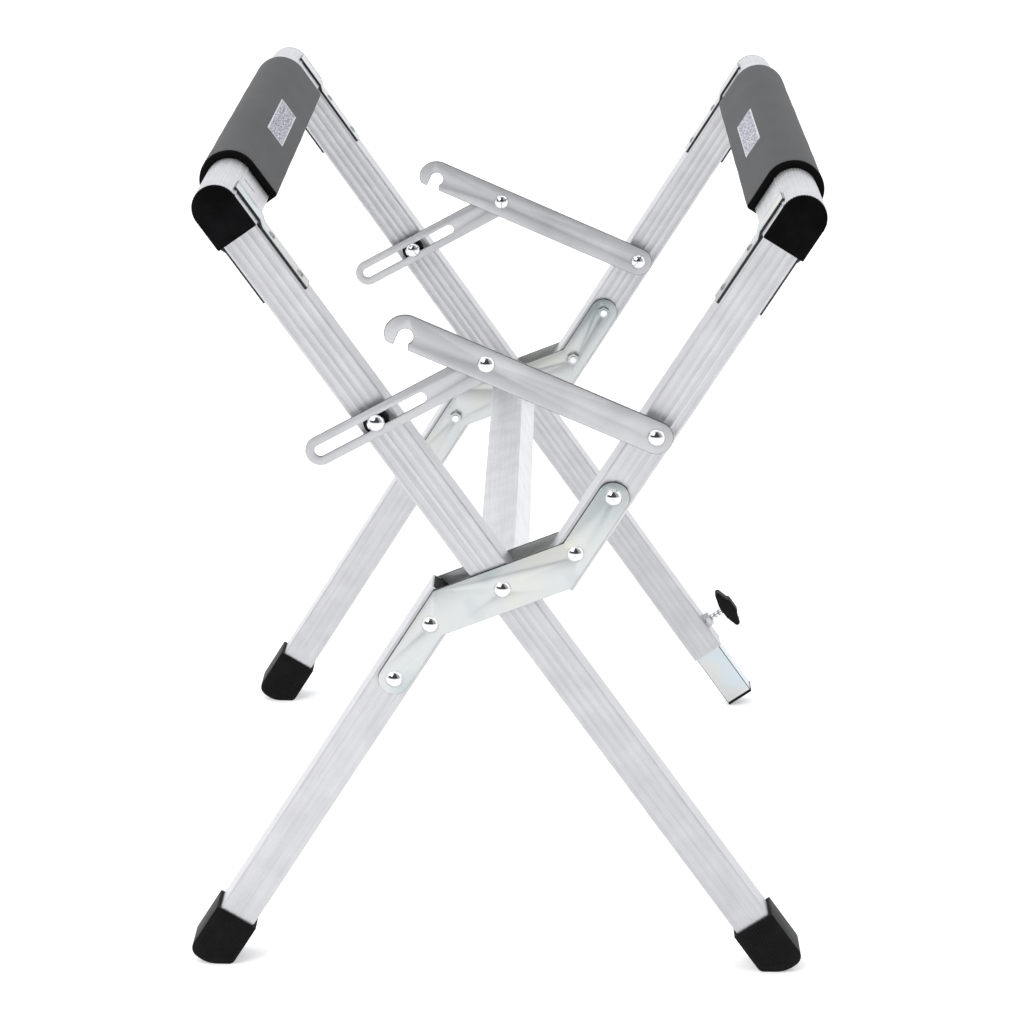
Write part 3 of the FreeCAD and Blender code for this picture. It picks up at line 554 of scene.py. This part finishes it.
def shade_plug_shape():
    """A black block for each half leg of one pair, painted shade in its open end: a body and
    two ridges over its end.
    """
    shape = bmesh.new()
    blocks = [(0, PLUG_ACROSS, PLUG_LONG / 2 - PLUG_PROUD, PLUG_LONG)]
    blocks += [(x, RIDGE_WIDE, RIDGE_SUNK - PLUG_PROUD, RIDGE_TALL)
               for x in (-RIDGE_AT, RIDGE_AT)]
    for half in (1, -1):
        for x, wide, sunk, tall in blocks:
            size = Matrix.Diagonal((wide, PLUG_DEEP, tall, 1))
            place = (half * CRANK + x, LEG_MIDDLE_Y, half * (PLUG_END + sunk))
            made = bmesh.ops.create_cube(shape, size=1,
                                         matrix=Matrix.Translation(place) @ size)
            edges = {edge for vert in made["verts"] for edge in vert.link_edges}
            bmesh.ops.bevel(shape, geom=list(edges), offset=PLUG_EDGE, segments=2,
                            profile=0.5, affect="EDGES", clamp_overlap=True)
    return shape


# Painted shade: black blocks in the open tube ends, where the hollow shows dark.
for pair, y in (("front", 0.0), ("rear", PITCH_Y)):
    shade_plugs = mesh_piece("half_leg_plugs_" + pair, shade_plug_shape(), moulded)
    fixed_to(shade_plugs, ON_B @ Matrix.Translation((0, y, 0)), "cranked_frame")

# ------------------------------------------------------------------------ foam sleeves
# A closed cell foam sleeve on each rail keeps the work from marking. Moulded with a
# smooth grey skin, slit to length, so its ends show the darker inside.
FOAM_WALL, FOAM_UNDER, FOAM_CORNER = 0.008, 0.004, 0.003
FOAM_START, FOAM_RUN = 0.111, 0.548
FOAM_HALF, FOAM_FLAT = RAIL_ROUND + FOAM_WALL, LEG_TOP - FOAM_UNDER
FLAT_STEPS, CORNER_STEPS, SIDE_STEPS, ROUND_STEPS, RUN_STEPS = 6, 6, 8, 24, 40
SKIN_START = 0.0022  # from the cut end to where the smooth skin begins
# From the inside of the wall out: share of the wall, how far the cut end lies back.
CUT_END = ((0.0, 0.0006), (0.12, 0.0), (0.5, -0.0002), (0.86, 0.0), (0.965, 0.0007))
WAVE = 0.0001
SKIN_LIGHT, SKIN_DARK = (0.050, 0.051, 0.053), (0.037, 0.0375, 0.040)
CUT_LIGHT, CUT_DARK = (0.006, 0.006, 0.006), (0.001, 0.001, 0.001)


def skin_recipe(field):
    pores = noise(field, place_on(field), 1400.0, 3.0)
    weave = noise(field, place_on(field, 0, (500, 180, 500)), 1.0, 3.0)
    cloud = noise(field, place_on(field), 11.0, 3.0)
    tone = pores * 0.35 + weave * 0.25 + cloud * 0.4
    return {
        "Base Color": tone.between(0.36, 0.64).blend(SKIN_DARK, SKIN_LIGHT),
        "Roughness": pores * 0.2 + 0.56,
        "Normal": bumped(field, pores + weave, 0.0003, 0.5),
    }


def cut_recipe(field):
    cells = noise(field, place_on(field), 1100.0, 4.0)
    return {
        "Base Color": cells.blend(CUT_DARK, CUT_LIGHT),
        "Roughness": cells * 0.1 + 0.88,
        "Normal": bumped(field, cells, 0.0006, 0.8),
    }


foam_skin = finish_of("foam_skin", skin_recipe, Specular_IOR_Level=0.4)
foam_cut = finish_of("foam_cut", cut_recipe, Specular_IOR_Level=0.1)


def sleeve_outline():
    """Places round the D and their outward directions, from the flat's middle."""
    corner_x, corner_z = FOAM_HALF - FOAM_CORNER, FOAM_FLAT + FOAM_CORNER
    half = [((corner_x * i / FLAT_STEPS, FOAM_FLAT), (0, -1)) for i in range(FLAT_STEPS)]
    for i in range(CORNER_STEPS + 1):
        turn = math.pi / 2 * i / CORNER_STEPS
        aim = (math.sin(turn), -math.cos(turn))
        half.append(((corner_x + FOAM_CORNER * aim[0], corner_z + FOAM_CORNER * aim[1]), aim))
    for i in range(1, SIDE_STEPS + 1):
        rise = corner_z + (RAIL_SHOULDER - corner_z) * i / SIDE_STEPS
        half.append(((FOAM_HALF, rise), (1, 0)))
    for i in range(1, ROUND_STEPS + 1):
        turn = math.pi / 2 * i / ROUND_STEPS
        aim = (math.cos(turn), math.sin(turn))
        half.append(((FOAM_HALF * aim[0], RAIL_SHOULDER + FOAM_HALF * aim[1]), aim))
    other = [((-x, z), (-a, b)) for (x, z), (a, b) in reversed(half[1:-1])]
    return half + other


def sleeve_section():
    """Once round the wall: (share of the wall, along Y, whether it is a cut end)."""
    front = [(share, FOAM_START + back, True) for share, back in CUT_END]
    front.append((1.0, FOAM_START + SKIN_START, False))
    run = FOAM_RUN - 2 * SKIN_START
    middle = [(1.0, FOAM_START + SKIN_START + run * i / RUN_STEPS, False)
              for i in range(1, RUN_STEPS)]
    rear = [(share, 2 * FOAM_START + FOAM_RUN - y, ended)
            for share, y, ended in reversed(front)]
    rear[-1] = (0.0, rear[-1][1], False)
    return front + middle + rear


def sleeve_shape():
    """The closed wall of a sleeve, faintly wavy. Its cut ends take the second material."""
    shape = bmesh.new()
    outline, section = sleeve_outline(), sleeve_section()
    rings = []
    for k, ((x, z), (aim_x, aim_z)) in enumerate(outline):
        ring = []
        for share, y, _ in section:
            wave = WAVE * math.sin(31 * y + 0.35 * k) + WAVE * math.sin(73 * y - 0.2 * k)
            inner_x = max(-RAIL_ROUND, min(RAIL_ROUND, x - FOAM_WALL * aim_x))
            inner_z = max(LEG_TOP, z - (FOAM_WALL if aim_z > 0 else FOAM_UNDER) * aim_z)
            outer_x, outer_z = x + wave * aim_x, z + wave * aim_z
            ring.append(shape.verts.new((inner_x + share * (outer_x - inner_x), y,
                                         inner_z + share * (outer_z - inner_z))))
        rings.append(ring)
    for k, ring in enumerate(rings):
        beyond = rings[(k + 1) % len(rings)]
        for j, (_, _, ended) in enumerate(section):
            after = (j + 1) % len(section)
            face = shape.faces.new((ring[j], ring[after], beyond[after], beyond[j]))
            face.material_index = int(ended or section[after][2])
    bmesh.ops.recalc_face_normals(shape, faces=shape.faces)
    return shape


for side, on_leg, across, _, body in RAILS:
    sleeve = mesh_piece("foam_%s_sleeve" % side, sleeve_shape(), foam_skin, foam_cut)
    sleeve.data.polygons.foreach_set("use_smooth", [True] * len(sleeve.data.polygons))
    fixed_to(sleeve, on_leg @ Matrix.Translation((across, 0, 0)), body)
    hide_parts("foam_" + side)

# ---------------------------------------------------------------------- sleeve labels
# A thin label stuck on the inner side of each sleeve, left blank: speckled pale blue
# with a white border.
LABEL_LOW, LABEL_TALL = 0.463, 0.026
LABEL_START, LABEL_LONG = 0.2775, 0.160
LABEL_PROUD, LABEL_SUNK = 0.0004, 0.0006
LABEL_ROWS, LABEL_COLUMNS, BORDER_Y, BORDER_UP = 12, 38, 0.002, 0.0016
BLUE_LIGHT, BLUE_DARK = (0.60, 0.61, 0.66), (0.035, 0.04, 0.075)
WHITE_LIGHT, WHITE_DARK = (0.62, 0.63, 0.66), (0.42, 0.43, 0.47)


def label_recipe(light, dark):
    """Fine specks of two colours."""
    def recipe(field):
        fleck = noise(field, place_on(field), 480.0, 4.0, 0.7)
        return {
            "Base Color": fleck.between(0.44, 0.56).blend(dark, light),
            "Roughness": fleck * 0.2 + 0.45,
            "Normal": bumped(field, fleck, 0.0001, 0.5),
        }
    return recipe


label_blue = finish_of("label_blue", label_recipe(BLUE_LIGHT, BLUE_DARK))
label_white = finish_of("label_white", label_recipe(WHITE_LIGHT, WHITE_DARK))


def label_point(inward, climb, proud):
    """A place on the sleeve's side, climb up from the label's lower edge."""
    straight = RAIL_SHOULDER - LABEL_LOW
    if climb <= straight:
        return (inward * (FOAM_HALF + proud), LABEL_LOW + climb)
    turn = (climb - straight) / FOAM_HALF
    reach = FOAM_HALF + proud
    return (inward * reach * math.cos(turn), RAIL_SHOULDER + reach * math.sin(turn))


def label_shape(inward):
    """A slab with a border one cell wide."""
    shape = bmesh.new()
    rows, columns = LABEL_ROWS, LABEL_COLUMNS
    ys = [0.0] + [BORDER_Y + (LABEL_LONG - 2 * BORDER_Y) * i / (columns - 2)
                  for i in range(columns - 1)] + [LABEL_LONG]
    ups = [0.0] + [BORDER_UP + (LABEL_TALL - 2 * BORDER_UP) * i / (rows - 2)
                   for i in range(rows - 1)] + [LABEL_TALL]
    sheets = []
    for proud in (LABEL_PROUD, -LABEL_SUNK):
        sheet = []
        for climb in ups:
            x, z = label_point(inward, climb, proud)
            sheet.append([shape.verts.new((x, LABEL_START + y, z)) for y in ys])
        sheets.append(sheet)
    top, under = sheets
    for i in range(rows):
        for j in range(columns):
            border = i in (0, rows - 1) or j in (0, columns - 1)
            for sheet in sheets:
                face = shape.faces.new((sheet[i][j], sheet[i][j + 1],
                                        sheet[i + 1][j + 1], sheet[i + 1][j]))
                face.material_index = int(border)
    rim = [(0, j) for j in range(columns)] + [(i, columns) for i in range(rows)]
    rim += [(rows, j) for j in range(columns, 0, -1)] + [(i, 0) for i in range(rows, 0, -1)]
    for (i, j), (k, m) in zip(rim, rim[1:] + rim[:1]):
        face = shape.faces.new((top[i][j], top[k][m], under[k][m], under[i][j]))
        face.material_index = 1
    bmesh.ops.recalc_face_normals(shape, faces=shape.faces)
    return shape


for side, on_leg, across, inward, body in RAILS:
    label = mesh_piece("foam_%s_label" % side, label_shape(inward), label_blue, label_white)
    label.data.polygons.foreach_set("use_smooth", [True] * len(label.data.polygons))
    label.data.set_sharp_from_angle(angle=math.radians(40))
    fixed_to(label, on_leg @ Matrix.Translation((across, 0, 0)), body)

# ------------------------------------------------------------------------ rail straps
# Joggled steel straps hold each rail to its legs, two to a leg, riveted through the
# leg and welded up the rail. Plated like the gussets, with the same painted shade
# on their edges. The rivets are a duller steel.
RIVET_DARK, RIVET_LIGHT = (0.16, 0.175, 0.175), (0.34, 0.355, 0.355)
for node in nodes_named("strap_a_front", "strap_a_rear", "strap_b"):
    softened(node + "_plated", node, SHEET_EDGE, (zinc, edge_shade),
             sheet_y=False)


def rivet_recipe(field):
    wear = noise(field, place_on(field), 400.0, 3.0)
    return {
        "Base Color": wear.blend(RIVET_DARK, RIVET_LIGHT),
        "Roughness": wear * 0.10 + 0.12,
    }


finish_nodes(finish_of("dull_rivet", rivet_recipe, Metallic=1.0), "strap_rivets")

# -------------------------------------------------------------------------- latch arms
# Arms and slotted links are punched from steel strip with a satin finish, brushed
# along the strip. A hooked arm turns on each cranked leg.
STRIP_LIGHT, STRIP_DARK = (0.52, 0.52, 0.53), (0.455, 0.46, 0.47)
# Painted shade: dark colours for the punched edges of the arms and links, as a dark outline.
STRIP_EDGE_SHADE_DARK, STRIP_EDGE_SHADE_LIGHT = (0.11, 0.113, 0.118), (0.22, 0.225, 0.23)
ALONG_ARM, ARM_TURN = (60, 60, 1500), 22


def strip_recipe(field):
    brushing = noise(field, place_on(field, ARM_TURN, ALONG_ARM), 1.0, 3.0)
    cloud = noise(field, place_on(field), 20.0, 2.0)
    return {
        "Base Color": cloud.between(0.3, 0.7).blend(STRIP_DARK, STRIP_LIGHT),
        "Roughness": brushing * 0.12 + 0.40,
        "Normal": bumped(field, brushing, 0.0001, 0.4),
    }


# Painted shade: the punched edges of the arms and links are painted dark, as a painted shade
# outline.
def strip_edge_shade_recipe(field):
    strip_edge_grain = noise(field, place_on(field), 300.0, 3.0)
    return {
        "Base Color": strip_edge_grain.between(0.3, 0.7).blend(STRIP_EDGE_SHADE_DARK, STRIP_EDGE_SHADE_LIGHT),
        "Roughness": strip_edge_grain * 0.2 + 0.30,
    }


strip = finish_of("satin_strip", strip_recipe, Metallic=0.80)
strip_edge_shade = finish_of("painted_strip_edge_shade", strip_edge_shade_recipe, Metallic=0.8)
for node in nodes_named("latch_arm"):
    softened(node + "_strip", node, SHEET_EDGE, (strip, strip_edge_shade), sheet_y=True)

# ----------------------------------------------------------------------- slotted links
# A link hangs from each arm by a rivet, and its slot rides on a bolt through the
# straight leg. Black nylon discs keep it off the leg.
for node in nodes_named("slotted_link"):
    softened(node + "_strip", node, SHEET_EDGE, (strip, strip_edge_shade), sheet_y=True)
finish_nodes(moulded, "slot_discs")

# -------------------------------------------------------------------------- foot caps
# Black moulded caps pushed over the ends of the legs, with fine ribs down the front and
# a sole that is flat at its inner edge and rolls up to the outer wall.
CAP_WIDTH, CAP_HEIGHT, CAP_FRONT = 0.048, 0.050, -0.003
CAP_ROLL, CAP_EDGE = 0.004, 0.0012
CAP_RIBS, CAP_RIB_STEP, CAP_RIB_RADIUS = 13, 0.003, 0.0005
CAP_RIB_FIRST, CAP_RIB_DOWN, CAP_RIB_PAST = 0.005, 0.003, 0.006
# The ribs nearer the inner edge than this are shorter, by this much for each unit.
CAP_SLOPE_LIMIT, CAP_SLOPE = 0.030, 0.42


def rolled_corner(shape):
    """Round the corner where the inner wall meets the ground."""
    ground = [edge for edge in shape.edges
              if all(vert.co.z < 0.0005 for vert in edge.verts)
              and abs(edge.verts[0].co.y - edge.verts[1].co.y) > 0.03]
    inner = min(ground, key=lambda edge: abs(edge.verts[0].co.x))
    bmesh.ops.bevel(shape, geom=[inner], offset=CAP_ROLL, segments=5, profile=0.5,
                    affect="EDGES", clamp_overlap=True)


for node in nodes_named("foot_cap"):
    softened(node + "_moulded", node, CAP_EDGE, (moulded,), segments=3,
             before=rolled_corner)


def cap_rib_recipe(field, size):
    """Thin bars down the front of a cap, each as long as the sole leaves room for."""
    index = field.node("GeometryNodeInputIndex")
    across = size["First"] + index * size["Step"]
    short = (size["Slope limit"] - across).math("MAXIMUM", 0.0) * size["Slope"]
    long = size["Longest"] - short
    place = field.node("ShaderNodeCombineXYZ", {}, {
        "X": across * size["Outward"], "Z": long * -0.5})
    points = field.node("GeometryNodePoints", {}, {"Count": size["Ribs"], "Position": place})
    bar = field.node("GeometryNodeMeshCylinder", {"fill_type": "NGON"}, {
        "Vertices": 6, "Radius": size["Rib radius"], "Depth": 1.0})
    scale = field.node("ShaderNodeCombineXYZ", {}, {"X": 1.0, "Y": 1.0, "Z": long})
    return field.node("GeometryNodeInstanceOnPoints", {}, {
        "Points": points, "Instance": bar, "Scale": scale})


for name, on_leg, across, outward, lean, body, y in (
        ("a_front", ON_A, 0.0, 1, LEAN_A, "straight_frame", 0.0),
        ("b_front", ON_B, -CRANK, -1, LEAN_B, "cranked_frame", 0.0),
        ("b_rear", ON_B, -CRANK, -1, LEAN_B, "cranked_frame", PITCH_Y)):
    inner = outward * across - CAP_WIDTH / 2
    edge = -(PIVOT_UP + inner * math.sin(abs(lean))) / math.cos(lean)
    ribs = grown("foot_cap_%s_ribs" % name, {
        "Ribs": CAP_RIBS, "First": CAP_RIB_FIRST, "Step": CAP_RIB_STEP,
        "Outward": float(outward), "Longest": CAP_HEIGHT + CAP_RIB_PAST,
        "Slope limit": CAP_SLOPE_LIMIT, "Slope": CAP_SLOPE,
        "Rib radius": CAP_RIB_RADIUS}, cap_rib_recipe, moulded)
    start = Matrix.Translation((outward * inner, y + CAP_FRONT,
                                edge + CAP_HEIGHT - CAP_RIB_DOWN))
    fixed_to(ribs, on_leg @ start, body)

# -------------------------------------------------------------------- adjustable foot
# The rear straight leg has a square steel tube sliding inside it, zinc plated, with a
# black rubber plug in its end.
PALE_BLUE, PALE_WARM = (0.55, 0.62, 0.66), (0.60, 0.61, 0.60)
FOOT_EDGE, FOOT_PLUG_EDGE = 0.0009, 0.0006


def pale_recipe(field):
    cast = noise(field, place_on(field), 16.0, 2.0)
    grain = noise(field, place_on(field), 900.0, 3.0)
    return {
        "Base Color": cast.between(0.40, 0.62).blend(PALE_BLUE, PALE_WARM),
        "Roughness": grain * 0.10 + cast * 0.15 + 0.22,
        "Normal": bumped(field, grain, 0.0001, 0.4),
    }


pale_zinc = finish_of("pale_zinc", pale_recipe, Metallic=0.88)
# Its broken edges take the painted edge shade.
softened("foot_tube_plated", "foot_tube", FOOT_EDGE, (pale_zinc, edge_shade))
softened("foot_plug_moulded", "foot_plug", FOOT_PLUG_EDGE, (moulded,))

# --------------------------------------------------------------------------- lock knob
# A winged black knob turns a threaded steel stem through a nut on the leg, and clamps
# the adjustable foot. The thread is rolled.
STEM_ACROSS, STEM_ALONG = 0.0284, -0.406
KNOB_EDGE = 0.0008


def thread_recipe(field, size):
    """A ridge wound round the stem's core."""
    path = field.node("GeometryNodeCurveSpiral", {}, {
        "Resolution": size["Steps"], "Rotations": size["Turns"],
        "Start Radius": size["Core"], "End Radius": size["Core"], "Height": size["Length"]})
    ridge = field.node("GeometryNodeCurvePrimitiveCircle", {}, {
        "Resolution": 4, "Radius": size["Ridge"]})
    return field.node("GeometryNodeCurveToMesh", {}, {
        "Curve": path, "Profile Curve": ridge, "Fill Caps": True})


thread = grown("lock_screw_thread", {"Steps": 20, "Turns": 14.0, "Core": 0.0040,
                                     "Length": 0.0175, "Ridge": 0.00055},
               thread_recipe, bright)
stem = ON_A @ Matrix.Translation((STEM_ACROSS, PITCH_Y + LEG_MIDDLE_Y, STEM_ALONG))
fixed_to(thread, stem @ Matrix.Rotation(math.pi / 2, 4, "Y"), "knob")
softened("lock_knob_moulded", "lock_knob", KNOB_EDGE, (moulded,), segments=3)
